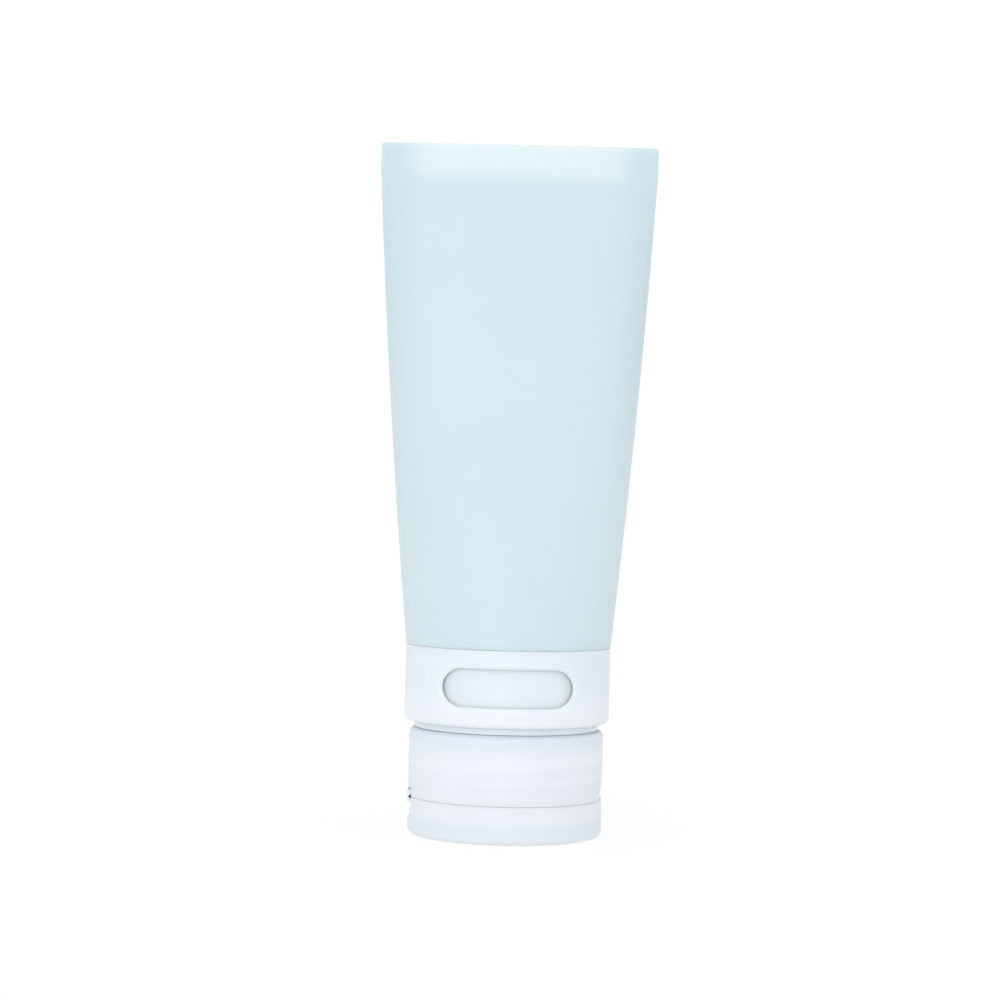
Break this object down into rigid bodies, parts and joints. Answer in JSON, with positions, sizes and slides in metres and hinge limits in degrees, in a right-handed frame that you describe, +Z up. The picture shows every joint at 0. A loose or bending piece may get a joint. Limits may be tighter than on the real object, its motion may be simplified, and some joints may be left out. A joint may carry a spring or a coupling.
{
  "type": "travel squeeze bottle",
  "caption": "Soft silicone squeeze tube for liquids, standing on a screw cap with a flip lid, with a turning window sleeve at its collar.",
  "frame": {"origin": "centre of the closed lid's flat face, which the bottle stands on", "axes": "+Z up along the bottle to its sealed end, -Y out of the collar's window, -X to the lid's hinge"},
  "size_m": [0.0554, 0.0408, 0.1375],
  "materials": {
    "silicone": "matt translucent",
    "frosted_plastic": "frosted",
    "clear_plastic": "natural",
    "label_plastic": "satin",
    "valve_silicone": "matt"
  },
  "bodies": {
    "bottle": {"squeeze_tube": "silicone", "neck_ring": "clear_plastic", "label_ring": "label_plastic"},
    "sleeve": {"window_sleeve": "frosted_plastic"},
    "valve": {"drip_valve": "valve_silicone", "valve_retainer": "clear_plastic"},
    "cap": {"screw_cap": "frosted_plastic", "living_hinge": "frosted_plastic"},
    "lid": {"flip_lid": "frosted_plastic"}
  },
  "joints": [
    {"name": "sleeve_turn", "type": "hinge", "parent": "bottle", "child": "sleeve", "pos_m": [0, 0, 0.0303], "axis": [0, 0, 1], "continuous": true},
    {"name": "cap_travel", "type": "slide", "parent": "bottle", "child": "valve", "axis": [0, 0, -1], "range_m": [0, 0.0128]},
    {"name": "cap_turn", "type": "hinge", "parent": "valve", "child": "cap", "pos_m": [0, 0, 0.015], "axis": [0, 0, -1], "range_deg": [0, 1080]},
    {"name": "lid_flip", "type": "hinge", "parent": "cap", "child": "lid", "pos_m": [-0.0192, 0, 0.0075], "axis": [0, 1, 0], "range_deg": [0, 160], "deforming": ["living_hinge"]}
  ],
  "couplings": [
    {"joint": "cap_travel", "follows": "cap_turn", "m_per_rad": 0.00067641}
  ]
}
